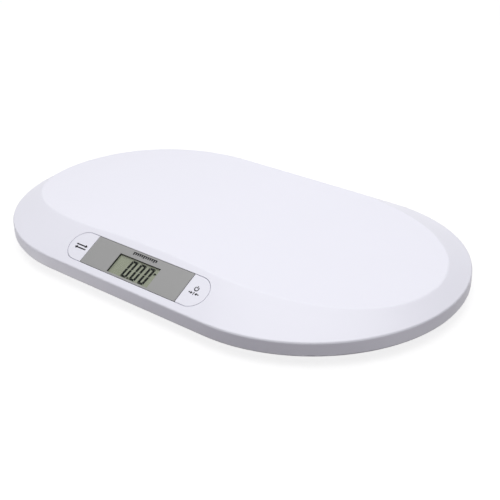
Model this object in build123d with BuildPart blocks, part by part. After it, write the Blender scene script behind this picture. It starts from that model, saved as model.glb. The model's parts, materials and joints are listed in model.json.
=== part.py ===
from build123d import *

import os
from math import atan2, cos, sin

# Digital baby weighing scale. Millimetres, +Z up, X along the long side, the display faces -Y.
# The origin lies on the floor, under the centre of the platform.

os.makedirs("parts", exist_ok=True)

# ---------------------------------------------------------------- driving dimensions
# Platform
length = 550.0
width = 330.0
height = 52.0
crown_rise = 25.5
crown_drop = 16.1
skirt_height = 13.4
rim_overrun = 0.5
rim_run_side = 48.3
rim_run_end = 42.2
plateau_straight = 143.4
crease_radius = 4.0
lip_radius = 2.0
skirt_edge_radius = 1.0
skirt_wall = 2.5
roof_wall = 2.4
rib_thickness = 1.8
rib_depth = 8.0
rib_pitch_x = 60.0
rib_count_x = 7
rib_pitch_y = 60.0
rib_count_y = 3
rib_end_inset = 70.0
rib_side_inset = 67.0
cell_tube_inset = 0.5
overrun = 1.0

# Control panel, measured along the sloping rim from the lip
panel_rise = 26.3
pill_length = 192.0
pill_height = 36.0
fascia_length = 133.9
fascia_thickness = 0.5
window_length = 57.2
window_height = 23.9
window_shift = -3.6
key_gap = 0.6
key_edge_radius = 0.3
key_wall = 1.6
key_skin = 1.8
key_flange_reach = 1.2
key_flange_thickness = 1.2
key_seat_clearance = 0.1
key_travel = 0.5
key_stem_radius = 2.2

# Display module behind the rim
frame_band = 4.0
frame_end = 5.0
frame_corner = 18.0
frame_plate = 2.0
frame_clearance = 0.5
frame_ear_gap = 8.8
frame_ear_inner_x = 45.0
frame_ear_overhang = 1.2
frame_ear_margin = 0.5
frame_boss_radius = 3.0
frame_boss_clearance = 0.2
lens_thickness = 0.6
lens_border = 1.2
lcd_depth = 2.2
lcd_border = 3.0
lcd_front_glass = 1.2
lcd_rear_glass = 1.2
lcd_ledge = 2.6
reflector_margin = 0.5
reflector_thickness = 0.3
pocket_clearance = 0.2
pocket_wall = 1.6
board_depth = 8.6
board_end_margin = 10.0
board_height = 36.0
board_thickness = 1.6
board_corner = 2.0
board_post_x = 50.0
board_post_rise = 13.0
board_post_radius = 2.6
strip_width = 1.8
strip_margin = 1.5
blob_place = (14.0, 2.0)
blob_radius = 7.0
blob_height = 1.6
blob_taper = 35.0
socket_length = 9.0
socket_width = 6.0
socket_height = 4.0
socket_rise = 6.0
cell_socket_outer = 66.0
cell_socket_inner = 36.0
battery_socket_place = (-8.0, 10.0)
battery_socket_length = 7.0
switch_size = 6.0
switch_body_height = 2.4
switch_plunger_radius = 1.75
switch_plunger_hole = 1.8
switch_well_depth = 1.4
stroke_end_gap = 0.1

# Base cover
floor_z = 5.0
floor_wall = 2.2
base_edge_height = 1.2
base_edge_inset = 1.2
floor_inset = 24.0
lip_clearance = 0.25
locating_lip_height = 3.9
locating_lip_wall = 1.8
tower_top = 14.0
tower_radius = 4.6
tower_end_inset = 40.0
tower_corner_end_inset = 145.0
tower_corner_side_inset = 45.0
base_rib_height = 4.5

# Feet and load cells
foot_end_inset = 95.0
foot_side_inset = 77.0
well_inner_radius = 24.5
well_wall = 2.5
well_ceiling = 13.6
well_roof = 2.4
cell_size = 34.0
cell_thickness = 2.5
cell_pad_height = 1.2
cell_pad_width = 3.0
cell_slot = 1.6
cell_tongue_width = 11.0
cell_end_width = 5.0
cell_corner = 5.0
gauge_width = 8.0
gauge_length = 5.0
gauge_height = 0.7
gauge_corner = 1.5
gauge_taper = 30.0
gauge_root_gap = 1.0
cap_screw_margin = 3.2
cap_boss_radius = 2.8
cap_clearance = 0.4
cap_thickness = 2.0
cap_counterbore_depth = 1.0
cap_height = 0.6
cap_hole_clearance = 1.0
cap_post_inset = 2.8
cap_post_width = 3.2
foot_radius = 15.5
foot_bottom = 2.2
foot_thickness = 5.2
foot_stub_radius = 4.0
foot_chamfer = 1.0
pad_radius = 13.0
pad_seat_depth = 1.2
pad_fit = 0.05
pad_chamfer = 0.6
pad_groove_radius = 7.5
pad_groove_width = 1.5
pad_groove_depth = 0.6

# Battery bay and door
battery_length = 43.7
battery_radius = 5.25
battery_chamfer = 0.4
nub_radius = 1.9
nub_height = 0.8
battery_pitch = 11.0
battery_middle_y = 2.6
battery_gap_below = 0.4
cradle_offset = 12.0
cradle_clearance = 0.2
bay_side_gap = 0.85
bay_ceiling_gap = 0.9
bay_wall = 1.8
spring_room = 7.1
hook_room = 4.85
hook_swing_room = 0.8
door_seat_side = 4.5
door_seat_back = 2.0
door_thickness = 1.8
door_gap = 0.3
door_seat_width = 1.6
door_seat_thickness = 1.6
hook_lift = 0.1
hook_relief = 2.75
hook_width = 8.0
hook_offset = 18.0
hook_thickness = 1.3
hook_reach = 3.2
hook_root = 4.6
guide_gap = 0.35
guide_lift = 0.6
latch_half_width = 9.0
latch_length = 8.0
latch_slot = 1.0
catch_gap = 0.3
catch_wall = 1.2
catch_height = 2.2
grip_count = 4
grip_pitch = 2.4
grip_length = 16.0
grip_width = 1.2
grip_depth = 0.5
finger_notch_length = 18.0
finger_notch_width = 14.0
finger_notch_depth = 1.0
contact_thickness = 0.4
contact_width = 8.0
contact_touch = 0.1
tab_width = 3.0
tab_length = 3.0
tab_clearance = 0.6
bow_width = 5.0
bow_half_height = 4.0

# Fasteners
base_screw_radius = 1.5
base_screw_head_radius = 3.0
base_screw_head_height = 2.0
base_counterbore_depth = 5.0
base_screw_length = 12.0
cross_length = 3.4
cross_width = 0.9
cross_depth = 1.2
small_cross_length = 2.2
small_cross_width = 0.6
small_cross_depth = 0.8
small_screw_radius = 1.1
small_screw_head_radius = 2.0
small_screw_head_height = 1.3
small_screw_length = 4.6
frame_screw_head_radius = 4.0
frame_screw_length = 4.1
screw_clearance = 0.25
thread_fit = 0.02

# ---------------------------------------------------------------- sizes that follow
half_length = length / 2
half_width = width / 2
rib_reach_x = half_length - rib_end_inset
rib_reach_y = half_width - rib_side_inset
lip_z = height - crown_rise
skirt_z = lip_z - skirt_height
rim_rise = crown_rise + rim_overrun
crown_radius = (half_length**2 + crown_drop**2) / (2 * crown_drop)
rim_angle = atan2(rim_rise, rim_run_side)
rim_thickness = skirt_wall * sin(rim_angle) + roof_wall * cos(rim_angle)

panel = Plane(
    origin=(0, -half_width + panel_rise * cos(rim_angle), lip_z + panel_rise * sin(rim_angle)),
    x_dir=(1, 0, 0),
    z_dir=(0, -sin(rim_angle), cos(rim_angle)),
)
panel_axis = Axis(panel.origin, panel.z_dir)
key_inner = fascia_length / 2 + key_gap
key_stem_offset = (key_inner + pill_length / 2) / 2
lcd_length = window_length + 2 * lcd_border
lcd_height = window_height + 2 * lcd_border
pocket_length = lcd_length + 2 * pocket_clearance
pocket_height = lcd_height + 2 * pocket_clearance
board_length = 2 * (key_stem_offset + board_end_margin)
key_flange_top = rim_thickness + key_seat_clearance
key_depth = key_flange_top + key_flange_thickness
fascia_height = pill_height - 2 * key_gap
frame_bottom = rim_thickness + frame_plate
switch_top = board_depth - switch_body_height
key_stem_end = switch_top - key_travel - stroke_end_gap
frame_ear_x = pill_length / 2 + key_flange_reach + frame_ear_gap
frame_length = 2 * (frame_ear_x + frame_end)
frame_height = pill_height + 2 * frame_band
frame_ear_inner_rise = frame_height / 2 + frame_ear_overhang
frame_ears = [(side * frame_ear_x, 0.0) for side in (-1, 1)]
frame_ears += [(side * frame_ear_inner_x, frame_ear_inner_rise) for side in (-1, 1)]
board_posts = [(i * board_post_x, j * board_post_rise) for i in (-1, 1) for j in (-1, 1)]

base_rim_z = skirt_z - base_edge_height
floor_top = floor_z + floor_wall
well_top = well_ceiling + well_roof
well_outer_radius = well_inner_radius + well_wall
foot_x = half_length - foot_end_inset
foot_y = half_width - foot_side_inset
foot_places = {
    "front_left": (-foot_x, -foot_y),
    "front_right": (foot_x, -foot_y),
    "back_left": (-foot_x, foot_y),
    "back_right": (foot_x, foot_y),
}
tower_end_x = half_length - tower_end_inset
tower_corner_x = half_length - tower_corner_end_inset
tower_corner_y = half_width - tower_corner_side_inset
tower_places = [(-tower_end_x, 0), (tower_end_x, 0)]
tower_places += [(i * tower_corner_x, j * tower_corner_y) for i in (-1, 1) for j in (-1, 1)]
cell_top = well_ceiling - cell_pad_height
cell_bottom = cell_top - cell_thickness
cap_bottom = floor_z + cap_height
cap_top = cap_bottom + cap_thickness
foot_top = foot_bottom + foot_thickness
cap_screw_offset = cell_size / 2 + cap_screw_margin
cap_post_offset = cell_size / 2 - cap_post_inset
cap_outer_radius = well_inner_radius - cap_clearance

door_top = floor_z + door_thickness
battery_z = door_top + battery_gap_below + battery_radius
battery_front_y = battery_middle_y - battery_pitch / 2
battery_back_y = battery_middle_y + battery_pitch / 2
bay_ceiling = battery_z + battery_radius + bay_ceiling_gap
bay_height = bay_ceiling - floor_top
bay_half_length = (battery_length + nub_height + spring_room) / 2 + contact_thickness
bay_back = battery_back_y + battery_radius + bay_side_gap
hook_edge = battery_front_y - battery_radius - hook_room
bay_front = hook_edge - hook_reach - hook_swing_room
door_back = bay_back + door_seat_back
door_half_length = bay_half_length + door_seat_side
hinge_z = floor_top + hook_lift
guide_bottom = hinge_z + hook_lift + hook_thickness + guide_lift
bay_middle = (bay_front + bay_back) / 2
bay_depth = bay_back - bay_front
contact_x = bay_half_length - contact_thickness / 2
contact_tabs = [(contact_x, battery_front_y), (contact_x, battery_back_y)]


# ---------------------------------------------------------------- shared shapes
def stadium(inset):
    """The platform's plan outline, moved inwards; call inside a sketch."""
    SlotOverall(length - 2 * inset, width - 2 * inset)


def crowned_form(inset, drop, bottom):
    """Skirt, sloping rim and crowned top as one solid, inset in plan and lowered by drop."""
    start = plateau_straight / 2
    reach = half_length - rim_run_end - start - inset
    side = half_width - rim_run_side - inset
    with BuildPart() as form:
        with BuildSketch(Plane.XY.offset(bottom)):
            stadium(inset)
        extrude(amount=lip_z - drop - bottom)
        with BuildSketch(Plane.XY.offset(lip_z - drop)):
            stadium(inset)
        with BuildSketch(Plane.XY.offset(lip_z - drop + rim_rise)):
            with BuildLine():
                Line((-start, -side), (start, -side))
                EllipticalCenterArc((start, 0), reach, side, -90, arc_size=180)
                Line((start, side), (-start, side))
                EllipticalCenterArc((-start, 0), reach, side, 90, arc_size=180)
            make_face()
        loft(ruled=True)
        with BuildSketch(Plane.XZ):
            with Locations((0, height - drop - crown_radius)):
                Circle(crown_radius)
        extrude(amount=width, both=True, mode=Mode.INTERSECT)
    return form.part


def key_outline(side, outset, inner):
    """One rounded end of the panel's pill, grown by outset, beyond inner; call inside a sketch."""
    SlotOverall(pill_length + 2 * outset, pill_height + 2 * outset)
    with Locations((side * (inner + pill_length / 2), 0)):
        Rectangle(pill_length, 2 * pill_height, mode=Mode.INTERSECT)


# ---------------------------------------------------------------- platform shell
cavity = crowned_form(skirt_wall, roof_wall, skirt_z - overrun)
mid_wall = crowned_form(skirt_wall / 2, roof_wall / 2, skirt_z - overrun)
below_ribs = crowned_form(skirt_wall, roof_wall + rib_depth, skirt_z - overrun - rib_depth)

with BuildPart() as rib_grid:
    with BuildSketch(Plane.XY.offset(skirt_z)):
        with GridLocations(rib_pitch_x, 0, rib_count_x, 1):
            Rectangle(rib_thickness, 2 * rib_reach_y)
        with GridLocations(0, rib_pitch_y, 1, rib_count_y):
            Rectangle(2 * rib_reach_x, rib_thickness)
    extrude(amount=height)
    add(below_ribs, mode=Mode.SUBTRACT)

with BuildPart() as bosses:
    with BuildSketch(Plane.XY.offset(well_top)):
        with Locations(*foot_places.values()):
            Circle(well_outer_radius - cell_tube_inset)
    extrude(amount=height)
    with BuildSketch(Plane.XY.offset(well_top)):
        with Locations(*foot_places.values()):
            Circle(well_inner_radius - cell_tube_inset)
    extrude(amount=height, mode=Mode.SUBTRACT)
    with BuildSketch(Plane.XY.offset(tower_top)):
        with Locations(*tower_places):
            Circle(tower_radius)
    extrude(amount=height)
    add(rib_grid.part)
    add(mid_wall, mode=Mode.INTERSECT)

with BuildPart() as platform_shell:
    add(crowned_form(0, 0, skirt_z))
    crown = platform_shell.faces().sort_by(Axis.Z)[-1]
    fillet(crown.edges(), radius=crease_radius)
    lip_edges = platform_shell.edges().filter_by_position(Axis.Z, lip_z - 0.01, lip_z + 0.01)
    fillet(lip_edges, radius=lip_radius)
    fillet(platform_shell.edges().group_by(Axis.Z)[0], radius=skirt_edge_radius)
    add(cavity, mode=Mode.SUBTRACT)
    add(bosses.part)
    with BuildSketch(Plane.XY.offset(tower_top)):
        with Locations(*tower_places):
            Circle(base_screw_radius + thread_fit)
    extrude(amount=base_screw_length, mode=Mode.SUBTRACT)
    with BuildSketch(panel.offset(-rim_thickness)):
        RectangleRounded(
            frame_length + 2 * frame_clearance,
            frame_height + 2 * frame_clearance,
            frame_corner + frame_clearance,
        )
        with Locations(*frame_ears[2:]):
            Circle(frame_screw_head_radius + frame_ear_margin + frame_clearance)
    extrude(amount=-3 * frame_plate, mode=Mode.SUBTRACT)
    with BuildSketch(panel):
        SlotOverall(pill_length, pill_height)
    extrude(amount=-2 * rim_thickness, mode=Mode.SUBTRACT)
    # relief behind the rim, where the display's glass is taller than the opening
    with BuildSketch(panel.offset(-lcd_depth)):
        with Locations((0, window_shift)):
            Rectangle(pocket_length, pocket_height)
    extrude(amount=-rim_thickness, mode=Mode.SUBTRACT)
    with BuildSketch(panel.offset(-rim_thickness - frame_plate)):
        with Locations(*frame_ears):
            Circle(frame_boss_radius)
    extrude(amount=frame_plate + rim_thickness / 2)
    with BuildSketch(panel.offset(-rim_thickness - frame_plate)):
        with Locations(*frame_ears):
            Circle(small_screw_radius + thread_fit)
    extrude(amount=small_screw_length, mode=Mode.SUBTRACT)
platform_shell.part.label = "platform_shell"
export_step(platform_shell.part, "parts/platform_shell.step")

# ---------------------------------------------------------------- display module
with BuildPart() as display_fascia:
    with BuildSketch(panel.offset(-fascia_thickness)):
        Rectangle(fascia_length, fascia_height)
        with Locations((0, window_shift)):
            Rectangle(window_length, window_height, mode=Mode.SUBTRACT)
    extrude(amount=fascia_thickness)
display_fascia.part.label = "display_fascia"
export_step(display_fascia.part, "parts/display_fascia.step")

with BuildPart() as display_lens:
    with BuildSketch(panel.offset(-fascia_thickness - lens_thickness)):
        with Locations((0, window_shift)):
            Rectangle(window_length + 2 * lens_border, window_height + 2 * lens_border)
    extrude(amount=lens_thickness)
display_lens.part.label = "display_lens"
export_step(display_lens.part, "parts/display_lens.step")

lcd_rear_depth = lcd_depth + lcd_front_glass
lcd_bottom = lcd_rear_depth + lcd_rear_glass
with BuildPart() as lcd_glass:
    with BuildSketch(panel.offset(-lcd_rear_depth)):
        with Locations((0, window_shift)):
            Rectangle(lcd_length, lcd_height)
    extrude(amount=lcd_front_glass)
    with BuildSketch(panel.offset(-lcd_bottom)):
        with Locations((0, window_shift)):
            Rectangle(lcd_length, lcd_height - 2 * lcd_ledge)
    extrude(amount=lcd_rear_glass)
lcd_glass.part.label = "lcd_glass"
export_step(lcd_glass.part, "parts/lcd_glass.step")

with BuildPart() as lcd_reflector:
    with BuildSketch(panel.offset(-lcd_bottom - reflector_thickness)):
        with Locations((0, window_shift)):
            Rectangle(
                lcd_length - 2 * reflector_margin,
                lcd_height - 2 * lcd_ledge - 2 * reflector_margin,
            )
    extrude(amount=reflector_thickness)
lcd_reflector.part.label = "lcd_reflector"
export_step(lcd_reflector.part, "parts/lcd_reflector.step")

strip_offset = lcd_height / 2 - lcd_ledge / 2
with BuildPart() as contact_strips:
    with BuildSketch(panel.offset(-board_depth)):
        with Locations((0, window_shift + strip_offset), (0, window_shift - strip_offset)):
            Rectangle(lcd_length - 2 * strip_margin, strip_width)
    extrude(amount=board_depth - lcd_rear_depth)
contact_strips.part.label = "contact_strips"
export_step(contact_strips.part, "parts/contact_strips.step")

with BuildPart() as display_frame:
    with BuildSketch(panel.offset(-frame_bottom)):
        RectangleRounded(frame_length, frame_height, frame_corner)
        with Locations(*frame_ears[2:]):
            Circle(frame_screw_head_radius + frame_ear_margin)
    extrude(amount=frame_plate)
    with BuildSketch(panel.offset(-rim_thickness)):
        Rectangle(fascia_length, fascia_height)
    extrude(amount=rim_thickness - fascia_thickness)
    with BuildSketch(panel.offset(-frame_bottom - pocket_wall)):
        with Locations((0, window_shift)):
            Rectangle(pocket_length + 2 * pocket_wall, pocket_height + 2 * pocket_wall)
    extrude(amount=pocket_wall)
    for side in (-1, 1):
        with BuildSketch(panel.offset(-frame_bottom)):
            key_outline(side, key_flange_reach + key_gap, fascia_length / 2)
        extrude(amount=frame_plate, mode=Mode.SUBTRACT)
    with BuildSketch(panel.offset(-board_depth)):
        with Locations(*board_posts):
            Circle(board_post_radius)
    extrude(amount=board_depth - frame_bottom)
    with BuildSketch(panel.offset(-board_depth)):
        with Locations(*board_posts):
            Circle(small_screw_radius + thread_fit)
    extrude(amount=small_screw_length, mode=Mode.SUBTRACT)
    with BuildSketch(panel.offset(-frame_bottom)):
        with Locations(*frame_ears):
            Circle(frame_boss_radius + frame_boss_clearance)
    extrude(amount=frame_plate, mode=Mode.SUBTRACT)
    with BuildSketch(panel.offset(-fascia_thickness)):
        with Locations((0, window_shift)):
            Rectangle(window_length, window_height)
    extrude(amount=-frame_bottom, mode=Mode.SUBTRACT)
    with BuildSketch(panel.offset(-fascia_thickness)):
        with Locations((0, window_shift)):
            Rectangle(window_length + 2 * lens_border, window_height + 2 * lens_border)
    extrude(amount=-lens_thickness, mode=Mode.SUBTRACT)
    with BuildSketch(panel.offset(-lcd_depth)):
        with Locations((0, window_shift)):
            Rectangle(pocket_length, pocket_height)
    extrude(amount=-board_depth, mode=Mode.SUBTRACT)
display_frame.part.label = "display_frame"
export_step(display_frame.part, "parts/display_frame.step")

with BuildPart() as main_board:
    with BuildSketch(panel.offset(-board_depth - board_thickness)):
        RectangleRounded(board_length, board_height, board_corner)
        with Locations(*board_posts):
            Circle(small_screw_radius + screw_clearance, mode=Mode.SUBTRACT)
    extrude(amount=board_thickness)
main_board.part.label = "main_board"
export_step(main_board.part, "parts/main_board.step")

board_back = board_depth + board_thickness
with BuildPart() as controller_blob:
    with BuildSketch(panel.offset(-board_back)):
        with Locations(blob_place):
            Circle(blob_radius)
    extrude(amount=-blob_height, taper=blob_taper)
controller_blob.part.label = "controller_blob"
export_step(controller_blob.part, "parts/controller_blob.step")

cell_socket_x = (-cell_socket_outer, -cell_socket_inner, cell_socket_inner, cell_socket_outer)
cell_socket_places = [(x, socket_rise) for x in cell_socket_x]
with BuildPart() as lead_sockets:
    with BuildSketch(panel.offset(-board_back)):
        with Locations(*cell_socket_places):
            Rectangle(socket_length, socket_width)
        with Locations(battery_socket_place):
            Rectangle(battery_socket_length, socket_width)
    extrude(amount=-socket_height)
lead_sockets.part.label = "lead_sockets"
export_step(lead_sockets.part, "parts/lead_sockets.step")

# ---------------------------------------------------------------- keys and their switches
for name, side in (("unit", -1), ("power", 1)):
    stem_place = (side * key_stem_offset, 0)
    with BuildPart() as key:
        with BuildSketch(panel.offset(-key_depth)):
            key_outline(side, -key_gap, key_inner)
        extrude(amount=key_depth)
        fillet(key.faces().sort_by(panel_axis)[-1].edges(), radius=key_edge_radius)
        with BuildSketch(panel.offset(-key_depth)):
            key_outline(side, key_flange_reach, key_inner)
        extrude(amount=key_flange_thickness)
        with BuildSketch(panel.offset(-key_depth)):
            key_outline(side, -key_gap - key_wall, key_inner + key_wall)
        extrude(amount=key_depth - key_skin, mode=Mode.SUBTRACT)
        with BuildSketch(panel.offset(-key_stem_end)):
            with Locations(stem_place):
                Circle(key_stem_radius)
        extrude(amount=key_stem_end - key_skin)
    key.part.label = f"{name}_key"
    export_step(key.part, f"parts/{name}_key.step")

    with BuildPart() as switch:
        with BuildSketch(panel.offset(-board_depth)):
            with Locations(stem_place):
                Rectangle(switch_size, switch_size)
        extrude(amount=switch_body_height)
        with BuildSketch(panel.offset(-switch_top)):
            with Locations(stem_place):
                Circle(switch_plunger_hole)
        extrude(amount=-switch_well_depth, mode=Mode.SUBTRACT)
    switch.part.label = f"{name}_switch"
    export_step(switch.part, f"parts/{name}_switch.step")

    plunger_length = switch_well_depth
    with BuildPart() as plunger:
        with BuildSketch(panel.offset(-key_stem_end)):
            with Locations(stem_place):
                Circle(switch_plunger_radius)
        extrude(amount=-plunger_length)
    plunger.part.label = f"{name}_switch_plunger"
    export_step(plunger.part, f"parts/{name}_switch_plunger.step")

# ---------------------------------------------------------------- base cover
locating_inset = skirt_wall + lip_clearance
inner_inset = locating_inset + locating_lip_wall
with BuildPart() as base_hollow:
    with BuildSketch(Plane.XY.offset(floor_top)):
        stadium(floor_inset + overrun)
    with BuildSketch(Plane.XY.offset(base_rim_z + floor_wall)):
        stadium(inner_inset)
    loft(ruled=True)
    with BuildSketch(Plane.XY.offset(base_rim_z + floor_wall)):
        stadium(inner_inset)
    extrude(amount=height)

with BuildPart() as base_ribs:
    with BuildSketch(Plane.XY.offset(floor_top)):
        with GridLocations(rib_pitch_x, 0, rib_count_x, 1):
            Rectangle(rib_thickness, 2 * rib_reach_y)
        with GridLocations(0, 2 * foot_y, 1, 2):
            Rectangle(2 * foot_x, rib_thickness)
    extrude(amount=base_rib_height)

with BuildPart() as base_cover:
    with BuildSketch(Plane.XY.offset(floor_z)):
        stadium(floor_inset)
    with BuildSketch(Plane.XY.offset(base_rim_z)):
        stadium(base_edge_inset)
    loft(ruled=True)
    with BuildSketch(Plane.XY.offset(base_rim_z)):
        stadium(base_edge_inset)
    extrude(amount=base_edge_height)
    with BuildSketch(Plane.XY.offset(skirt_z)):
        stadium(locating_inset)
    extrude(amount=locating_lip_height)
    add(base_hollow.part, mode=Mode.SUBTRACT)
    add(base_ribs.part)
    with BuildSketch(Plane.XY.offset(floor_top)):
        with Locations(*foot_places.values()):
            Circle(well_outer_radius)
    extrude(amount=well_top - floor_top)
    with BuildSketch(Plane.XY.offset(floor_top)):
        with Locations(*tower_places):
            Circle(tower_radius)
    extrude(amount=tower_top - floor_top)
    with BuildSketch(Plane.XY.offset(floor_top)):
        with Locations((0, bay_middle)):
            Rectangle(2 * (bay_half_length + bay_wall), bay_depth + 2 * bay_wall)
    extrude(amount=bay_height + bay_wall)
    with BuildSketch(Plane.XY.offset(floor_top)):
        with Locations((0, (hook_edge + door_back) / 2)):
            Rectangle(
                2 * (door_half_length + door_gap + door_seat_width),
                door_back - hook_edge + 2 * door_seat_width,
            )
    extrude(amount=door_seat_thickness)
    # load cell wells, with the pads the cells bear on and the posts that take the cap screws
    with BuildSketch(Plane.XY.offset(floor_z)):
        with Locations(*foot_places.values()):
            Circle(well_inner_radius)
    extrude(amount=well_ceiling - floor_z, mode=Mode.SUBTRACT)
    with BuildSketch(Plane.XY.offset(cell_top)):
        with Locations(*foot_places.values()):
            RectangleRounded(cell_size, cell_size, cell_corner)
    extrude(amount=cell_pad_height)
    with BuildSketch(Plane.XY.offset(cell_top)):
        with Locations(*foot_places.values()):
            Rectangle(cell_size - 2 * cell_pad_width, cell_size - 2 * cell_pad_width)
    extrude(amount=cell_pad_height, mode=Mode.SUBTRACT)
    with BuildSketch(Plane.XY.offset(cap_top)):
        for foot_place_x, foot_place_y in foot_places.values():
            for side in (-1, 1):
                with Locations((foot_place_x + side * cap_screw_offset, foot_place_y)):
                    Circle(cap_boss_radius)
    extrude(amount=well_ceiling - cap_top)
    with BuildSketch(Plane.XY.offset(cap_top)):
        for foot_place_x, foot_place_y in foot_places.values():
            for side in (-1, 1):
                with Locations((foot_place_x + side * cap_screw_offset, foot_place_y)):
                    Circle(small_screw_radius + thread_fit)
    extrude(amount=small_screw_length, mode=Mode.SUBTRACT)
    # counterbored towers for the long screws
    with BuildSketch(Plane.XY.offset(floor_z)):
        with Locations(*tower_places):
            Circle(base_screw_radius + screw_clearance)
    extrude(amount=tower_top, mode=Mode.SUBTRACT)
    with BuildSketch(Plane.XY.offset(floor_z)):
        with Locations(*tower_places):
            Circle(base_screw_head_radius + screw_clearance)
    extrude(amount=base_counterbore_depth, mode=Mode.SUBTRACT)
    # battery bay, its door seat and the lip the door's hooks reach over
    with BuildSketch(Plane.XY.offset(door_top)):
        with Locations((0, (hook_edge + bay_back) / 2)):
            Rectangle(2 * bay_half_length, bay_back - hook_edge)
    extrude(amount=bay_ceiling - door_top, mode=Mode.SUBTRACT)
    with BuildSketch(Plane.XY.offset(floor_top)):
        with Locations((0, bay_middle)):
            Rectangle(2 * bay_half_length, bay_depth)
    extrude(amount=bay_height, mode=Mode.SUBTRACT)
    with BuildSketch(Plane.XY.offset(floor_z)):
        with Locations((0, (hook_edge + door_back) / 2)):
            Rectangle(2 * (door_half_length + door_gap), door_back - hook_edge)
    extrude(amount=door_thickness, mode=Mode.SUBTRACT)
    with BuildSketch(Plane.XY.offset(floor_z)):
        with Locations((0, door_back)):
            SlotOverall(finger_notch_length, finger_notch_width)
    extrude(amount=finger_notch_depth, mode=Mode.SUBTRACT)
    # cradle ribs above the cells and the wall in front of them
    with BuildSketch(Plane.XY.offset(battery_z)):
        with GridLocations(2 * cradle_offset, 0, 2, 1):
            with Locations((0, bay_middle)):
                Rectangle(rib_thickness, bay_depth)
    extrude(amount=bay_ceiling - battery_z)
    with BuildSketch(Plane.XY.offset(guide_bottom)):
        with Locations((0, battery_front_y - battery_radius - guide_gap - rib_thickness / 2)):
            Rectangle(2 * bay_half_length, rib_thickness)
    extrude(amount=bay_ceiling - guide_bottom)
    with BuildSketch(Plane.YZ):
        with Locations((battery_front_y, battery_z), (battery_back_y, battery_z)):
            Circle(battery_radius + cradle_clearance)
    extrude(amount=bay_half_length, both=True, mode=Mode.SUBTRACT)
    # slots for the contacts' solder tabs
    with BuildSketch(Plane.XY.offset(bay_ceiling)):
        with Locations(*contact_tabs):
            Rectangle(2 * contact_thickness + tab_clearance, tab_width + tab_clearance)
    extrude(amount=bay_wall, mode=Mode.SUBTRACT)
base_cover.part.label = "base_cover"
export_step(base_cover.part, "parts/base_cover.step")

# ---------------------------------------------------------------- load cells and feet
tongue_reach = cell_size - 2 * cell_end_width
gauge_offset = tongue_reach / 2 - gauge_root_gap - gauge_length / 2
with BuildPart() as gauge_patches:
    with BuildSketch(Plane.XY.offset(cell_top)):
        for foot_place_x, foot_place_y in foot_places.values():
            with Locations((foot_place_x, foot_place_y + gauge_offset)):
                RectangleRounded(gauge_width, gauge_length, gauge_corner)
    extrude(amount=gauge_height, taper=gauge_taper)
gauge_patches.part.label = "gauge_patches"
export_step(gauge_patches.part, "parts/gauge_patches.step")

for name, (foot_place_x, foot_place_y) in foot_places.items():
    place = (foot_place_x, foot_place_y)
    screw_places = [(foot_place_x + side * cap_screw_offset, foot_place_y) for side in (-1, 1)]
    with BuildPart() as load_cell:
        with BuildSketch(Plane.XY.offset(cell_bottom)):
            with Locations(place):
                RectangleRounded(cell_size, cell_size, cell_corner)
                Rectangle(cell_tongue_width + 2 * cell_slot, tongue_reach, mode=Mode.SUBTRACT)
            with Locations((foot_place_x, foot_place_y + cell_slot / 2)):
                Rectangle(cell_tongue_width, tongue_reach - cell_slot)
        extrude(amount=cell_thickness)
    load_cell.part.label = f"load_cell_{name}"
    export_step(load_cell.part, f"parts/load_cell_{name}.step")

    with BuildPart() as cell_cap:
        with BuildSketch(Plane.XY.offset(cap_bottom)):
            with Locations(place):
                Circle(cap_outer_radius)
                Circle(foot_radius + cap_hole_clearance, mode=Mode.SUBTRACT)
        extrude(amount=cap_thickness)
        with BuildSketch(Plane.XY.offset(cap_top)):
            with Locations(place):
                with GridLocations(2 * cap_post_offset, 2 * cap_post_offset, 2, 2):
                    Rectangle(cap_post_width, cap_post_width)
        extrude(amount=cell_bottom - cap_top)
        with BuildSketch(Plane.XY.offset(cap_bottom)):
            with Locations(*screw_places):
                Circle(small_screw_radius + screw_clearance)
        extrude(amount=cap_thickness, mode=Mode.SUBTRACT)
        with BuildSketch(Plane.XY.offset(cap_bottom)):
            with Locations(*screw_places):
                Circle(small_screw_head_radius + screw_clearance)
        extrude(amount=cap_counterbore_depth, mode=Mode.SUBTRACT)
    cell_cap.part.label = f"cell_cap_{name}"
    export_step(cell_cap.part, f"parts/cell_cap_{name}.step")

    with BuildPart() as foot:
        with BuildSketch(Plane.XY.offset(foot_bottom)):
            with Locations(place):
                Circle(foot_radius)
        extrude(amount=foot_thickness)
        chamfer(foot.faces().sort_by(Axis.Z)[0].edges(), length=foot_chamfer)
        with BuildSketch(Plane.XY.offset(foot_bottom)):
            with Locations(place):
                Circle(pad_radius)
        extrude(amount=pad_seat_depth, mode=Mode.SUBTRACT)
        with BuildSketch(Plane.XY.offset(foot_top)):
            with Locations(place):
                Circle(foot_stub_radius)
        extrude(amount=cell_bottom - foot_top)
    foot.part.label = f"foot_{name}"
    export_step(foot.part, f"parts/foot_{name}.step")

    with BuildPart() as foot_pad:
        with BuildSketch(Plane.XY):
            with Locations(place):
                Circle(pad_radius - pad_fit)
        extrude(amount=foot_bottom + pad_seat_depth)
        chamfer(foot_pad.faces().sort_by(Axis.Z)[0].edges(), length=pad_chamfer)
        with BuildSketch(Plane.XY):
            with Locations(place):
                Circle(pad_groove_radius + pad_groove_width)
                Circle(pad_groove_radius, mode=Mode.SUBTRACT)
        extrude(amount=pad_groove_depth, mode=Mode.SUBTRACT)
    foot_pad.part.label = f"foot_pad_{name}"
    export_step(foot_pad.part, f"parts/foot_pad_{name}.step")

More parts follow.
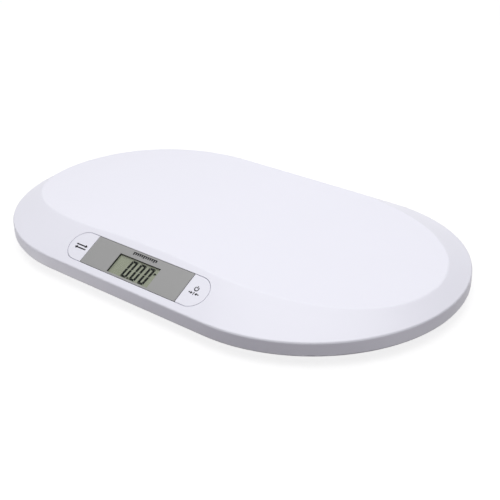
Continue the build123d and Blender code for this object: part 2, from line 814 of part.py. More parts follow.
# ---------------------------------------------------------------- batteries and contacts
for name, battery_place_y, side in (("front", battery_front_y, -1), ("back", battery_back_y, 1)):
    nub_end = side * (bay_half_length - contact_thickness)
    shoulder = nub_end - side * nub_height
    with BuildPart() as battery:
        with BuildSketch(Plane.YZ.offset(shoulder)):
            with Locations((battery_place_y, battery_z)):
                Circle(battery_radius)
        extrude(amount=-side * battery_length)
        chamfer(battery.edges().filter_by(GeomType.CIRCLE), length=battery_chamfer)
        with BuildSketch(Plane.YZ.offset(shoulder)):
            with Locations((battery_place_y, battery_z)):
                Circle(nub_radius)
        extrude(amount=side * nub_height)
    battery.part.label = f"battery_{name}"
    export_step(battery.part, f"parts/battery_{name}.step")

# each contact: its name, its end of the bay, the cells it faces and the one it presses with a bow
contacts = (
    ("bridge_contact", -1, (battery_front_y, battery_back_y), battery_back_y),
    ("positive_contact", 1, (battery_back_y,), None),
    ("negative_contact", 1, (battery_front_y,), battery_front_y),
)
far_end = bay_half_length - contact_thickness - nub_height - battery_length
bow_tip = contact_touch - far_end + contact_thickness / 2
for name, side, cells_faced, bowed in contacts:
    with BuildPart() as contact:
        plate_middle = sum(cells_faced) / len(cells_faced)
        plate_width = max(cells_faced) - min(cells_faced) + contact_width
        plate_x = side * contact_x
        with BuildSketch(Plane.XY.offset(battery_z - contact_width / 2)):
            with Locations((plate_x, plate_middle)):
                Rectangle(contact_thickness, plate_width)
        extrude(amount=contact_width)
        if len(cells_faced) == 1:
            with BuildSketch(Plane.XY.offset(battery_z)):
                with Locations((plate_x, plate_middle)):
                    Rectangle(contact_thickness, tab_width)
            extrude(amount=bay_ceiling + bay_wall + tab_length - battery_z)
        if bowed is not None:
            with BuildSketch(Plane.XZ.offset(-bowed)):
                with BuildLine():
                    ThreePointArc(
                        (side * contact_x, battery_z - bow_half_height),
                        (side * bow_tip, battery_z),
                        (side * contact_x, battery_z + bow_half_height),
                    )
                trace(line_width=contact_thickness)
            extrude(amount=bow_width / 2, both=True)
    contact.part.label = name
    export_step(contact.part, f"parts/{name}.step")

# ---------------------------------------------------------------- battery door
door_edge = door_back - door_gap
with BuildPart() as battery_door:
    with BuildSketch(Plane.XY.offset(floor_z)):
        with Locations((0, (hook_edge + door_edge) / 2)):
            Rectangle(2 * door_half_length, door_edge - hook_edge)
        with Locations((-latch_half_width, door_edge), (latch_half_width, door_edge)):
            Rectangle(latch_slot, 2 * latch_length, mode=Mode.SUBTRACT)
    extrude(amount=door_thickness)
    with BuildSketch(Plane.XY.offset(door_top)):
        with Locations((0, bay_back - catch_gap - catch_wall / 2)):
            Rectangle(2 * latch_half_width - latch_slot, catch_wall)
    extrude(amount=catch_height)
    with BuildSketch(Plane.YZ):
        with Locations((hook_edge, hinge_z)):
            Circle(hook_relief)
    extrude(amount=door_half_length, both=True, mode=Mode.SUBTRACT)
    with BuildSketch(Plane.XY.offset(hinge_z + hook_lift)):
        with Locations((-hook_offset, hook_edge), (hook_offset, hook_edge)):
            with Locations((0, (hook_root - hook_reach) / 2)):
                Rectangle(hook_width, hook_root + hook_reach)
    extrude(amount=hook_thickness)
    with BuildSketch(Plane.XY.offset(door_top)):
        with Locations((-hook_offset, hook_edge), (hook_offset, hook_edge)):
            with Locations((0, (hook_root + hook_relief) / 2)):
                Rectangle(hook_width, hook_root - hook_relief)
    extrude(amount=hinge_z + hook_lift - door_top)
    with BuildSketch(Plane.XY.offset(floor_z)):
        with Locations((0, door_edge - latch_length - grip_count * grip_pitch / 2)):
            with GridLocations(0, grip_pitch, 1, grip_count):
                SlotOverall(grip_length, grip_width)
    extrude(amount=grip_depth, mode=Mode.SUBTRACT)
battery_door.part.label = "battery_door"
export_step(battery_door.part, "parts/battery_door.step")

# ---------------------------------------------------------------- screws
with BuildPart() as base_screws:
    head_seat = floor_z + base_counterbore_depth
    with BuildSketch(Plane.XY.offset(head_seat - base_screw_head_height)):
        with Locations(*tower_places):
            Circle(base_screw_head_radius)
    extrude(amount=base_screw_head_height)
    with BuildSketch(Plane.XY.offset(head_seat)):
        with Locations(*tower_places):
            Circle(base_screw_radius)
    extrude(amount=base_screw_length)
    with BuildSketch(Plane.XY.offset(head_seat - base_screw_head_height)):
        with Locations(*tower_places):
            Rectangle(cross_length, cross_width)
            Rectangle(cross_width, cross_length)
    extrude(amount=cross_depth, mode=Mode.SUBTRACT)
base_screws.part.label = "base_screws"
export_step(base_screws.part, "parts/base_screws.step")

with BuildPart() as cap_screws:
    head_seat = cap_bottom + cap_counterbore_depth
    for foot_place_x, foot_place_y in foot_places.values():
        places = [(foot_place_x + side * cap_screw_offset, foot_place_y) for side in (-1, 1)]
        with BuildSketch(Plane.XY.offset(head_seat - small_screw_head_height)):
            with Locations(*places):
                Circle(small_screw_head_radius)
        extrude(amount=small_screw_head_height)
        with BuildSketch(Plane.XY.offset(head_seat)):
            with Locations(*places):
                Circle(small_screw_radius)
        extrude(amount=small_screw_length)
        with BuildSketch(Plane.XY.offset(head_seat - small_screw_head_height)):
            with Locations(*places):
                Rectangle(small_cross_length, small_cross_width)
                Rectangle(small_cross_width, small_cross_length)
        extrude(amount=small_cross_depth, mode=Mode.SUBTRACT)
cap_screws.part.label = "cap_screws"
export_step(cap_screws.part, "parts/cap_screws.step")

with BuildPart() as frame_screws:
    with BuildSketch(panel.offset(-frame_bottom)):
        with Locations(*frame_ears):
            Circle(frame_screw_head_radius)
    extrude(amount=-small_screw_head_height)
    with BuildSketch(panel.offset(-frame_bottom)):
        with Locations(*frame_ears):
            Circle(small_screw_radius)
    extrude(amount=frame_screw_length)
frame_screws.part.label = "frame_screws"
export_step(frame_screws.part, "parts/frame_screws.step")

with BuildPart() as board_screws:
    with BuildSketch(panel.offset(-board_back)):
        with Locations(*board_posts):
            Circle(small_screw_head_radius)
    extrude(amount=-small_screw_head_height)
    with BuildSketch(panel.offset(-board_back)):
        with Locations(*board_posts):
            Circle(small_screw_radius)
    extrude(amount=small_screw_length)
board_screws.part.label = "board_screws"
export_step(board_screws.part, "parts/board_screws.step")
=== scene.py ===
import json
import math

import bmesh
import bpy
from mathutils import Matrix, Vector


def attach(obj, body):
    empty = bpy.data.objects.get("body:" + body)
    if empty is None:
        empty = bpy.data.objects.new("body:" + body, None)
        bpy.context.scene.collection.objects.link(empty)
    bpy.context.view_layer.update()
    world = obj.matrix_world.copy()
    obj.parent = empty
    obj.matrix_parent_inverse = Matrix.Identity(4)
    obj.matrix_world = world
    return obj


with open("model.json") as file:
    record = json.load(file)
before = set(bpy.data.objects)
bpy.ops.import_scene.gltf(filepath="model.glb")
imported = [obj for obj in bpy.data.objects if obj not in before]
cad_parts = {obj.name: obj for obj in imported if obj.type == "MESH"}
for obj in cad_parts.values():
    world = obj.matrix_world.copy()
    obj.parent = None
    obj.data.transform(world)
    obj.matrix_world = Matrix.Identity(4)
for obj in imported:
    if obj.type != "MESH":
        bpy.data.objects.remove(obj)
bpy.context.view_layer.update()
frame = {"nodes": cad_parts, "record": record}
nodes = frame["nodes"]
scene = bpy.context.scene
MM = 0.001

# ---------------------------------------------------------------- where the panel lies
# in millimetres: the panel slopes from the front lip up to the platform's rim
RIM_RISE = 26.0
RIM_RUN = 48.3
LIP_Z = 26.5
HALF_WIDTH = 165.0
PANEL_RISE = 26.3
RIM_ANGLE = math.atan2(RIM_RISE, RIM_RUN)
PANEL_X = Vector((1, 0, 0))
PANEL_Y = Vector((0, math.cos(RIM_ANGLE), math.sin(RIM_ANGLE)))
PANEL_N = Vector((0, -math.sin(RIM_ANGLE), math.cos(RIM_ANGLE)))
PANEL_O = Vector((
    0,
    -HALF_WIDTH + PANEL_RISE * math.cos(RIM_ANGLE),
    LIP_Z + PANEL_RISE * math.sin(RIM_ANGLE),
))


def depth_of(node):
    """How far a node's highest point lies below the panel's plane, in millimetres."""
    return min((PANEL_O - point.co / MM).dot(PANEL_N) for point in nodes[node].data.vertices)


LCD_DEPTH = depth_of("lcd_glass")
KEY_DEPTH = depth_of("unit_key")
FASCIA_DEPTH = depth_of("display_fascia")


def on_panel(x, y, depth):
    """A point in metres from millimetres on the panel, depth measured inwards."""
    return (PANEL_O + PANEL_X * x + PANEL_Y * y - PANEL_N * depth) * MM


# ---------------------------------------------------------------- building blocks of materials
def new_material(name):
    """A material with its node tree and its shader."""
    material = bpy.data.materials.new(name)
    material.use_nodes = True
    tree = material.node_tree
    return material, tree, tree.nodes["Principled BSDF"]


def piece_place(tree):
    """The place on the piece itself, so that a pattern stays on it when it moves."""
    return tree.nodes.new("ShaderNodeTexCoord").outputs["Object"]


def mapped_place(tree, setting, value):
    """The place on the piece, turned or stretched: setting is Rotation or Scale."""
    node = tree.nodes.new("ShaderNodeMapping")
    node.inputs[setting].default_value = value
    tree.links.new(piece_place(tree), node.inputs["Vector"])
    return node.outputs["Vector"]


def noise(tree, scale, detail=2.0, roughness=0.5, place=None):
    """Noise on the piece; scale is in features a metre."""
    if place is None:
        place = piece_place(tree)
    node = tree.nodes.new("ShaderNodeTexNoise")
    node.inputs["Scale"].default_value = scale
    node.inputs["Detail"].default_value = detail
    node.inputs["Roughness"].default_value = roughness
    tree.links.new(place, node.inputs["Vector"])
    return node.outputs["Fac"]


def spread(tree, value, low, high, start=0.0, end=1.0):
    """Maps a value from start to end onto low to high."""
    node = tree.nodes.new("ShaderNodeMapRange")
    node.inputs["From Min"].default_value = start
    node.inputs["From Max"].default_value = end
    node.inputs["To Min"].default_value = low
    node.inputs["To Max"].default_value = high
    tree.links.new(value, node.inputs["Value"])
    return node.outputs["Result"]


def shade_between(tree, value, dark, light):
    """A colour between dark and light."""
    node = tree.nodes.new("ShaderNodeMix")
    node.data_type = "RGBA"
    node.inputs["A"].default_value = (*dark, 1)
    node.inputs["B"].default_value = (*light, 1)
    tree.links.new(value, node.inputs["Factor"])
    return node.outputs["Result"]


def larger_of(tree, first, second):
    """The larger of two values."""
    node = tree.nodes.new("ShaderNodeMath")
    node.operation = "MAXIMUM"
    tree.links.new(first, node.inputs[0])
    tree.links.new(second, node.inputs[1])
    return node.outputs["Value"]


def bump(tree, shader, height, strength, distance):
    """Lets a height from 0 to 1 roughen the shader's surface; distance is in metres."""
    node = tree.nodes.new("ShaderNodeBump")
    node.inputs["Strength"].default_value = strength
    node.inputs["Distance"].default_value = distance
    tree.links.new(height, node.inputs["Height"])
    tree.links.new(node.outputs["Normal"], shader.inputs["Normal"])


# ---------------------------------------------------------------- materials
SHELL_WHITE = (0.862, 0.866, 0.946)
BASE_WHITE = (0.72, 0.72, 0.76)
FOOT_WHITE = (0.66, 0.66, 0.70)
FASCIA_GREY = (0.318, 0.320, 0.318)
REFLECTOR_GREY = (0.42, 0.45, 0.36)
FRAME_BLACK = (0.015, 0.015, 0.016)
RESIN_BLACK = (0.015, 0.015, 0.015)
NYLON_CREAM = (0.75, 0.72, 0.62)
SWITCH_BLACK = (0.03, 0.03, 0.03)
BUTTON_BLACK = (0.05, 0.05, 0.05)
RUBBER_BLACK = (0.045, 0.045, 0.048)
SILICONE_GREY = (0.62, 0.62, 0.60)
STEEL_GREY = (0.62, 0.62, 0.63)
NICKEL_GREY = (0.72, 0.71, 0.68)
ZINC_GREY = (0.60, 0.60, 0.62)
LENS_GREY = (0.10, 0.11, 0.10)
LCD_DARK = (0.325, 0.357, 0.258)
LCD_LIGHT = (0.363, 0.396, 0.290)
MASK_DARK = (0.02, 0.15, 0.06)
MASK_LIGHT = (0.03, 0.18, 0.07)
TRACK_GREEN = (0.07, 0.28, 0.10)
LAYER_DARK = (0.03, 0.03, 0.03)
LAYER_LIGHT = (0.45, 0.28, 0.24)
SLEEVE_BLUE = (0.05, 0.07, 0.12)
SLEEVE_END_GREY = (0.40, 0.41, 0.43)
INK_BLACK = (0.012, 0.012, 0.014)
SEGMENT_BLACK = (0.006, 0.007, 0.006)

POLISH_WANDER = 0.05
STREAK_DARKENING = 0.88
STREAK_SMOOTHER = 0.08
STREAK_ROUGHER = 0.10
DUST_GAIN = 1.5
DUST_LIFT = 0.01
SLEEVE_END_X = 13.5


def plastic(name, colour, roughness, grain=2500.0, grain_depth=0.00002, tint=0.02, gloss=0.5):
    """Moulded plastic or ink: a faint drift of colour, roughness that wanders and a fine grain.
    Where gloss is below 0.5 it mirrors little, so that its black stays black."""
    material, tree, shader = new_material(name)
    light = tuple(c * (1 + tint / 2) for c in colour)
    dark = tuple(c * (1 - tint / 2) for c in colour)
    drift = shade_between(tree, noise(tree, scale=14.0, detail=3.0), dark, light)
    tree.links.new(drift, shader.inputs["Base Color"])
    polish = noise(tree, scale=60.0, detail=4.0)
    rough = spread(tree, polish, roughness - POLISH_WANDER, roughness + POLISH_WANDER)
    tree.links.new(rough, shader.inputs["Roughness"])
    bump(tree, shader, noise(tree, grain), strength=0.5, distance=grain_depth)
    shader.inputs["IOR"].default_value = 1.5
    shader.inputs["Specular IOR Level"].default_value = gloss
    return material


def metal(name, colour, roughness, along=(1.0, 30.0, 30.0)):
    """Rolled or drawn metal: streaks along one direction, or a mottle where along is even."""
    material, tree, shader = new_material(name)
    stretched = mapped_place(tree, "Scale", along)
    streaks = noise(tree, scale=120.0, detail=5.0, place=stretched)
    dark = tuple(c * STREAK_DARKENING for c in colour)
    tree.links.new(shade_between(tree, streaks, dark, colour), shader.inputs["Base Color"])
    rough = spread(tree, streaks, roughness - STREAK_SMOOTHER, roughness + STREAK_ROUGHER)
    tree.links.new(rough, shader.inputs["Roughness"])
    bump(tree, shader, streaks, strength=0.4, distance=0.00002)
    shader.inputs["Metallic"].default_value = 1.0
    return material


def rubber(name, colour):
    """Moulded rubber: matt, with a sandy grain and dusty lighter patches."""
    material, tree, shader = new_material(name)
    dust = noise(tree, scale=220.0, detail=6.0, roughness=0.6)
    light = tuple(c * DUST_GAIN + DUST_LIFT for c in colour)
    tree.links.new(shade_between(tree, dust, colour, light), shader.inputs["Base Color"])
    tree.links.new(spread(tree, dust, 0.65, 0.85), shader.inputs["Roughness"])
    bump(tree, shader, noise(tree, scale=1800.0, detail=3.0), strength=0.6, distance=0.00008)
    return material


def board_finish(name):
    """Solder mask with tracks beneath it, on a square grid that lies along the panel."""
    material, tree, shader = new_material(name)
    tracks = tree.nodes.new("ShaderNodeTexBrick")
    tracks.inputs["Scale"].default_value = 90.0
    tracks.inputs["Color1"].default_value = (*MASK_DARK, 1)
    tracks.inputs["Color2"].default_value = (*MASK_LIGHT, 1)
    tracks.inputs["Mortar"].default_value = (*TRACK_GREEN, 1)
    tracks.inputs["Mortar Size"].default_value = 0.04
    tree.links.new(mapped_place(tree, "Rotation", (-RIM_ANGLE, 0, 0)), tracks.inputs["Vector"])
    tree.links.new(tracks.outputs["Color"], shader.inputs["Base Color"])
    rough = spread(tree, noise(tree, scale=300.0), 0.25, 0.4)
    tree.links.new(rough, shader.inputs["Roughness"])
    bump(tree, shader, tracks.outputs["Fac"], strength=0.5, distance=0.00004)
    return material


def clear_plastic(name):
    """Clear acrylic over the display: see-through, with a faint haze and gloss."""
    material, tree, shader = new_material(name)
    shader.inputs["Base Color"].default_value = (*LENS_GREY, 1)
    shader.inputs["Alpha"].default_value = 0.06
    haze = noise(tree, scale=90.0, detail=3.0)
    tree.links.new(spread(tree, haze, 0.03, 0.09), shader.inputs["Roughness"])
    bump(tree, shader, noise(tree, scale=40.0, detail=1.0), strength=0.2, distance=0.00002)
    shader.inputs["IOR"].default_value = 1.49
    return material


def lcd_finish(name):
    """The liquid crystal cell over its reflector: grey-green with a fine sparkle."""
    material, tree, shader = new_material(name)
    tone = shade_between(tree, noise(tree, scale=45.0), LCD_DARK, LCD_LIGHT)
    tree.links.new(tone, shader.inputs["Base Color"])
    grain = noise(tree, scale=3500.0)
    tree.links.new(spread(tree, grain, 0.20, 0.34), shader.inputs["Roughness"])
    bump(tree, shader, grain, strength=0.25, distance=0.00001)
    return material


def striped_rubber(name):
    """Conductive elastomer: dark and light layers across the strip."""
    material, tree, shader = new_material(name)
    layers = tree.nodes.new("ShaderNodeTexWave")
    layers.bands_direction = "X"
    layers.inputs["Scale"].default_value = 800.0
    tree.links.new(piece_place(tree), layers.inputs["Vector"])
    tone = shade_between(tree, layers.outputs["Fac"], LAYER_DARK, LAYER_LIGHT)
    tree.links.new(tone, shader.inputs["Base Color"])
    shader.inputs["Roughness"].default_value = 0.6
    bump(tree, shader, layers.outputs["Fac"], strength=0.3, distance=0.00002)
    return material


def battery_jacket(name):
    """A plain dark sleeve with slight scuffs and pale ends, from SLEEVE_END_X outwards."""
    material, tree, shader = new_material(name)
    parts = tree.nodes.new("ShaderNodeSeparateXYZ")
    tree.links.new(piece_place(tree), parts.inputs["Vector"])
    outwards = tree.nodes.new("ShaderNodeMath")
    outwards.operation = "ABSOLUTE"
    tree.links.new(parts.outputs["X"], outwards.inputs[0])
    ends = tree.nodes.new("ShaderNodeMath")
    ends.operation = "GREATER_THAN"
    ends.inputs[1].default_value = SLEEVE_END_X * MM
    tree.links.new(outwards.outputs["Value"], ends.inputs[0])
    tone = shade_between(tree, ends.outputs["Value"], SLEEVE_BLUE, SLEEVE_END_GREY)
    tree.links.new(tone, shader.inputs["Base Color"])
    scuffs = noise(tree, scale=500.0, detail=6.0, roughness=0.7)
    tree.links.new(spread(tree, scuffs, 0.18, 0.45), shader.inputs["Roughness"])
    bump(tree, shader, scuffs, strength=0.3, distance=0.00003)
    return material


# after the colour: roughness, grain in features a metre, its depth in metres, tint and gloss
FINISHES = {
    "white_shell": plastic("shell_white", SHELL_WHITE, 0.42, 1600.0, 0.000012, 0.012),
    "key_plastic": plastic("key_white", SHELL_WHITE, 0.40, 2200.0, 0.000015, 0.015),
    "base_plastic": plastic("base_white", BASE_WHITE, 0.50, 1400.0, 0.00006, 0.03),
    "fascia_grey": plastic("fascia_print", FASCIA_GREY, 0.42, 3000.0, 0.00002, 0.03),
    "clear_lens": clear_plastic("lens_clear"),
    "lcd_glass": lcd_finish("lcd_cell"),
    "lcd_reflector": plastic("reflector_film", REFLECTOR_GREY, 0.35),
    "contact_rubber": striped_rubber("contact_layers"),
    "frame_plastic": plastic("frame_black", FRAME_BLACK, 0.45, 1500.0, 0.00004, 0.04, 0.2),
    "board_green": board_finish("board_mask"),
    "black_resin": plastic("resin_black", RESIN_BLACK, 0.15, 300.0, 0.0001, 0.1),
    "socket_nylon": plastic("socket_nylon", NYLON_CREAM, 0.45),
    "switch_black": plastic("switch_black", SWITCH_BLACK, 0.4),
    "switch_button": plastic("switch_button", BUTTON_BLACK, 0.35),
    "cell_steel": metal("cell_steel", STEEL_GREY, 0.38),
    "foot_plastic": plastic("foot_white", FOOT_WHITE, 0.45, 1400.0, 0.00005, 0.03),
    "foot_rubber": rubber("foot_rubber", RUBBER_BLACK),
    "battery_jacket": battery_jacket("battery_sleeve"),
    "nickel_contact": metal("contact_nickel", NICKEL_GREY, 0.25),
    "screw_steel": metal("screw_zinc", ZINC_GREY, 0.30, along=(20.0, 20.0, 20.0)),
    "gauge_silicone": rubber("gauge_silicone", SILICONE_GREY),
}
INK = plastic("mark_ink", INK_BLACK, 0.5, 4000.0, 0.00001, 0.2, 0.1)
SEGMENT = plastic("lcd_segment", SEGMENT_BLACK, 0.35, 4000.0, 0.00001, 0.2, 0.05)

for entry in frame["record"]["subparts"]:
    mesh = nodes[entry["node"]].data
    mesh.materials.clear()
    mesh.materials.append(FINISHES[entry["material_slot"]])


# ---------------------------------------------------------------- outlines on the panel
def slab(name, outlines, depth, thickness, material, body):
    """Closed thin prisms on the panel, one for each outline of (x, y) points in millimetres."""
    shape = bmesh.new()
    for outline in outlines:
        upper = [shape.verts.new(on_panel(x, y, depth - thickness)) for x, y in outline]
        lower = [shape.verts.new(on_panel(x, y, depth)) for x, y in outline]
        shape.faces.new(upper)
        shape.faces.new(lower[::-1])
        for i in range(len(outline)):
            j = (i + 1) % len(outline)
            shape.faces.new((upper[i], lower[i], lower[j], upper[j]))
    bmesh.ops.recalc_face_normals(shape, faces=shape.faces)
    mesh = bpy.data.meshes.new(name)
    shape.to_mesh(mesh)
    shape.free()
    piece = bpy.data.objects.new(name, mesh)
    scene.collection.objects.link(piece)
    mesh.materials.append(material)
    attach(piece, body)


def box_outline(x, y, wide, high):
    """A rectangle's corners about its centre."""
    w, h = wide / 2, high / 2
    return [(x - w, y - h), (x + w, y - h), (x + w, y + h), (x - w, y + h)]


def arc_outlines(x, y, radius, stroke, start, end, steps):
    """A ring's arc as a run of four-sided pieces, from start to end in degrees."""
    outlines = []
    inner, outer = radius - stroke / 2, radius + stroke / 2
    for i in range(steps):
        a = math.radians(start + (end - start) * i / steps)
        b = math.radians(start + (end - start) * (i + 1) / steps)
        outlines.append([
            (x + inner * math.cos(a), y + inner * math.sin(a)),
            (x + outer * math.cos(a), y + outer * math.sin(a)),
            (x + outer * math.cos(b), y + outer * math.sin(b)),
            (x + inner * math.cos(b), y + inner * math.sin(b)),
        ])
    return outlines


HEAD_SLOPE = 0.7


def arrow(x, y, length, head, stroke, side):
    """A straight arrow along x about its middle, pointing to side, 1 or -1."""
    tail, tip = x - side * length / 2, x + side * length / 2
    neck = tip - side * head
    return [
        box_outline((tail + neck) / 2, y, abs(neck - tail), stroke),
        [(neck, y - head * HEAD_SLOPE), (tip, y), (neck, y + head * HEAD_SLOPE)],
    ]


# ---------------------------------------------------------------- the display's digits
DIGIT_COUNT = 3
DIGIT_WIDTH = 8.4
DIGIT_HEIGHT = 20.9
DIGIT_PITCH = 12.03
DIGIT_FIRST_X = -7.0
DIGIT_Y = -3.7
DIGIT_SLANT = 0.087
STROKE = 2.8
BAR = 2.3
MIDDLE_GAP = 0.2
CORNER_GAP = 0.04
CORNER_CUT = 0.5
DOT_SIZE = 2.0
DOT_X = DIGIT_FIRST_X + DIGIT_PITCH / 2
DOT_Y = DIGIT_Y - DIGIT_HEIGHT / 2 + DOT_SIZE / 2
UNIT_POINTER = [(22.8, 3.2), (22.8, 0.0), (26.6, 1.6)]
SEGMENT_THICKNESS = 0.15


def slanted(outline):
    """Leans an outline to the right, as the digits of a display do."""
    return [(x + DIGIT_SLANT * (y - DIGIT_Y), y) for x, y in outline]


def zero_outlines(x, y):
    """The six lit segments of a seven-segment zero, with mitred ends."""
    w, h = DIGIT_WIDTH / 2, DIGIT_HEIGHT / 2
    notch = STROKE / 10
    segments = []
    for side in (-1, 1):
        edge, inside = side * w, side * (w - STROKE)
        bevel = side * (w - STROKE / 2)
        for end in (-1, 1):
            segments.append([
                (x + edge, y + end * (h - CORNER_GAP - CORNER_CUT)),
                (x + edge, y + end * (MIDDLE_GAP + notch)),
                (x + bevel, y + end * MIDDLE_GAP),
                (x + inside, y + end * (MIDDLE_GAP + notch)),
                (x + inside, y + end * (h - BAR - CORNER_GAP)),
            ])
    for end in (-1, 1):
        segments.append([
            (x - w + CORNER_GAP + CORNER_CUT, y + end * h),
            (x + w - CORNER_GAP - CORNER_CUT, y + end * h),
            (x + w - STROKE - CORNER_GAP, y + end * (h - BAR)),
            (x - w + STROKE + CORNER_GAP, y + end * (h - BAR)),
        ])
    return segments


lit = []
for digit in range(DIGIT_COUNT):
    lit += zero_outlines(DIGIT_FIRST_X + digit * DIGIT_PITCH, DIGIT_Y)
lit.append(box_outline(DOT_X, DOT_Y, DOT_SIZE, DOT_SIZE))
lit.append(UNIT_POINTER)
lit = [slanted(outline) for outline in lit]
slab("display_digits", lit, LCD_DEPTH, SEGMENT_THICKNESS, SEGMENT, "scale")

# ---------------------------------------------------------------- printed marks
MARK_THICKNESS = 0.03

# a row of ticks that hang from a line above the digits, every fifth one long
TICK_COUNT = 12
TICK_PITCH = 2.82
TICK_FIRST_X = -13.5
TICK_TOP = 15.4
TICK_WIDTH = 1.8
TICK_SHORT = 2.8
TICK_LONG = 3.6
TICK_LONG_EVERY = 5
TICK_LINE_X = 2.0
TICK_LINE_Y = 15.1
TICK_LINE_WIDTH = 33.0
TICK_LINE_HEIGHT = 0.7

ticks = [box_outline(TICK_LINE_X, TICK_LINE_Y, TICK_LINE_WIDTH, TICK_LINE_HEIGHT)]
for i in range(TICK_COUNT):
    tall = TICK_LONG if i % TICK_LONG_EVERY == 0 else TICK_SHORT
    tick_x = TICK_FIRST_X + i * TICK_PITCH
    ticks.append(box_outline(tick_x, TICK_TOP - tall / 2, TICK_WIDTH, tall))
slab("fascia_ticks", ticks, FASCIA_DEPTH, MARK_THICKNESS, INK, "scale")

# on the unit key two arrows, one each way; an arrow's sizes are length, head and stroke
UNIT_X = -79.4
UNIT_UPPER_Y = 0.2
UNIT_LOWER_Y = -3.4
UNIT_ARROW = (16.0, 3.2, 1.5)

unit_marks = arrow(UNIT_X, UNIT_UPPER_Y, *UNIT_ARROW, 1)
unit_marks += arrow(UNIT_X, UNIT_LOWER_Y, *UNIT_ARROW, -1)
slab("unit_key_mark", unit_marks, KEY_DEPTH, MARK_THICKNESS, INK, "unit_key")

# on the power key a ring that is open at the top, with a bar in its gap, and below it
# an upright bar between two arrows that point at it
POWER_X = 80.2
POWER_Y = 1.2
RING_Y = POWER_Y + 2.2
RING_RADIUS = 2.3
RING_STROKE = 1.1
RING_START = 125
RING_END = 415
RING_STEPS = 20
GAP_BAR_Y = POWER_Y + 4.2
GAP_BAR_LENGTH = 2.8
ZERO_Y = POWER_Y - 3.3
ZERO_BAR_STROKE = 1.0
ZERO_BAR_LENGTH = 3.4
ZERO_ARROW = (5.2, 2.4, 1.1)
ZERO_ARROW_OUT = 3.8

power_marks = arc_outlines(
    POWER_X, RING_Y, RING_RADIUS, RING_STROKE, RING_START, RING_END, RING_STEPS,
)
power_marks.append(box_outline(POWER_X, GAP_BAR_Y, RING_STROKE, GAP_BAR_LENGTH))
power_marks.append(box_outline(POWER_X, ZERO_Y, ZERO_BAR_STROKE, ZERO_BAR_LENGTH))
for side in (-1, 1):
    power_marks += arrow(POWER_X + side * ZERO_ARROW_OUT, ZERO_Y, *ZERO_ARROW, -side)
slab("power_key_mark", power_marks, KEY_DEPTH, MARK_THICKNESS, INK, "power_key")

# ---------------------------------------------------------------- floor and world
# in metres; the floor's own glow is FLOOR_LIFT up to LAMP_REACH from its middle and 1 at its edge
FLOOR_REACH = 6.0
LAMP_REACH = 0.4
FLOOR_LIFT = 0.76
FLOOR_WHITE = 0.34
FLOOR_BOUNCE = 0.24
SHADE_TINT = (1.0, 0.94, 1.0)
WORLD_LIGHT = 0.15


def seen_directly(tree, path):
    """1 for what the camera sees, also in gloss and through glass, and 0 for other light."""
    seen = larger_of(tree, path.outputs["Is Camera Ray"], path.outputs["Is Glossy Ray"])
    return larger_of(tree, seen, path.outputs["Is Transmission Ray"])


def diffuse(tree, colour):
    """A matt surface of one colour."""
    node = tree.nodes.new("ShaderNodeBsdfDiffuse")
    node.inputs["Color"].default_value = (*colour, 1)
    return node.outputs["BSDF"]


def either(tree, choice, first, second):
    """The first surface where choice is 0 and the second where it is 1."""
    node = tree.nodes.new("ShaderNodeMixShader")
    tree.links.new(choice, node.inputs["Fac"])
    tree.links.new(first, node.inputs[1])
    tree.links.new(second, node.inputs[2])
    return node.outputs["Shader"]


def floor_material():
    """Pale to the camera, in gloss and through glass, duller for the light that it throws back,
    and open to the lamps below it, so that the underside is lit too. Its own glow grows
    outwards, where the lamp above lights it less, so that it stays pale to its edge."""
    material = bpy.data.materials.new("floor")
    material.use_nodes = True
    tree = material.node_tree
    tree.nodes.clear()
    path = tree.nodes.new("ShaderNodeLightPath")
    distance = tree.nodes.new("ShaderNodeVectorMath")
    distance.operation = "LENGTH"
    tree.links.new(piece_place(tree), distance.inputs[0])
    lift = spread(tree, distance.outputs["Value"], FLOOR_LIFT, 1.0, LAMP_REACH, FLOOR_REACH)
    glow = tree.nodes.new("ShaderNodeEmission")
    tree.links.new(lift, glow.inputs["Strength"])
    shown = tree.nodes.new("ShaderNodeAddShader")
    pale = diffuse(tree, (FLOOR_WHITE, FLOOR_WHITE, FLOOR_WHITE))
    tree.links.new(pale, shown.inputs[0])
    tree.links.new(glow.outputs["Emission"], shown.inputs[1])
    dull = diffuse(tree, (FLOOR_BOUNCE * c for c in SHADE_TINT))
    upper = either(tree, seen_directly(tree, path), dull, shown.outputs["Shader"])
    side = tree.nodes.new("ShaderNodeNewGeometry")
    open_to = larger_of(tree, side.outputs["Backfacing"], path.outputs["Is Shadow Ray"])
    clear = tree.nodes.new("ShaderNodeBsdfTransparent")
    surface = either(tree, open_to, upper, clear.outputs["BSDF"])
    out = tree.nodes.new("ShaderNodeOutputMaterial")
    tree.links.new(surface, out.inputs["Surface"])
    return material


floor_mesh = bpy.data.meshes.new("floor")
corners = [
    (x * FLOOR_REACH, y * FLOOR_REACH, 0) for x, y in ((-1, -1), (1, -1), (1, 1), (-1, 1))
]
floor_mesh.from_pydata(corners, [], [(0, 1, 2, 3)])
floor_mesh.materials.append(floor_material())
floor = bpy.data.objects.new("floor", floor_mesh)
scene.collection.objects.link(floor)

world = bpy.data.worlds.new("studio")
scene.world = world
world.use_nodes = True
sky = world.node_tree
sky.nodes.clear()
sky_seen = seen_directly(sky, sky.nodes.new("ShaderNodeLightPath"))
sky_light = sky.nodes.new("ShaderNodeBackground")
sky_tone = shade_between(sky, sky_seen, SHADE_TINT, (1, 1, 1))
sky.links.new(sky_tone, sky_light.inputs["Color"])
sky.links.new(spread(sky, sky_seen, WORLD_LIGHT, 1.0), sky_light.inputs["Strength"])
sky_out = sky.nodes.new("ShaderNodeOutputWorld")
sky.links.new(sky_light.outputs["Background"], sky_out.inputs["Surface"])


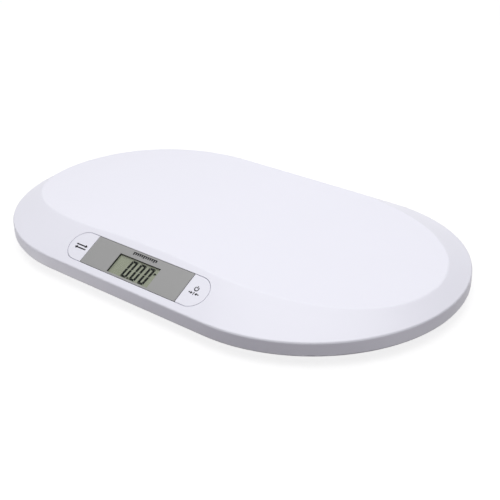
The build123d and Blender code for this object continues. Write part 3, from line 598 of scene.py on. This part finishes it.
# ---------------------------------------------------------------- lamps
def softbox(name, place, aim, wide, high, power):
    """A rectangular lamp at place, facing aim, in metres and watts."""
    lamp = bpy.data.lights.new(name, "AREA")
    lamp.shape = "RECTANGLE"
    lamp.size = wide
    lamp.size_y = high
    lamp.energy = power
    holder = bpy.data.objects.new(name, lamp)
    scene.collection.objects.link(holder)
    holder.location = place
    holder.rotation_mode = "QUATERNION"
    holder.rotation_quaternion = (Vector(aim) - Vector(place)).to_track_quat("-Z", "Y")


softbox("top_light", (0.08, -0.09, 1.7), (0, 0, 0), 2.26, 2.7, power=38.7)
softbox("under_light", (0.0, 0.0, -0.7), (0, 0, 0), 0.45, 0.28, power=2.0)
# light that a bright floor would throw up at the walls, from below the floor
softbox("left_bounce", (-0.49, -0.36, -0.25), (-0.18, -0.13, 0.02), 0.3, 0.2, power=0.48)
softbox("right_bounce", (0.62, 0.03, -0.25), (0.27, -0.03, 0.02), 0.3, 0.2, power=0.18)

# ---------------------------------------------------------------- camera
# lengths in millimetres; the azimuth is measured from the front towards the right
FOCAL = 71.35
SENSOR = 36.0
DISTANCE = 1042.6
AZIMUTH = math.radians(40.528)
ELEVATION = math.radians(27.211)
ROLL = math.radians(-1.439)
TARGET = Vector((50.73, -25.12, 26.5))

backward = Vector((
    math.sin(AZIMUTH) * math.cos(ELEVATION),
    -math.cos(AZIMUTH) * math.cos(ELEVATION),
    math.sin(ELEVATION),
))
level_right = (-backward).cross(Vector((0, 0, 1))).normalized()
level_up = level_right.cross(-backward)
right = math.cos(ROLL) * level_right + math.sin(ROLL) * level_up
up = -math.sin(ROLL) * level_right + math.cos(ROLL) * level_up
lens = bpy.data.cameras.new("camera")
lens.lens = FOCAL
lens.sensor_width = SENSOR
lens.clip_start = 0.02
lens.clip_end = 50.0
camera = bpy.data.objects.new("camera", lens)
scene.collection.objects.link(camera)
turn = Matrix((right, up, backward)).transposed().to_4x4()
camera.matrix_world = Matrix.Translation((TARGET + backward * DISTANCE) * MM) @ turn
scene.camera = camera
scene.view_settings.view_transform = "Standard"
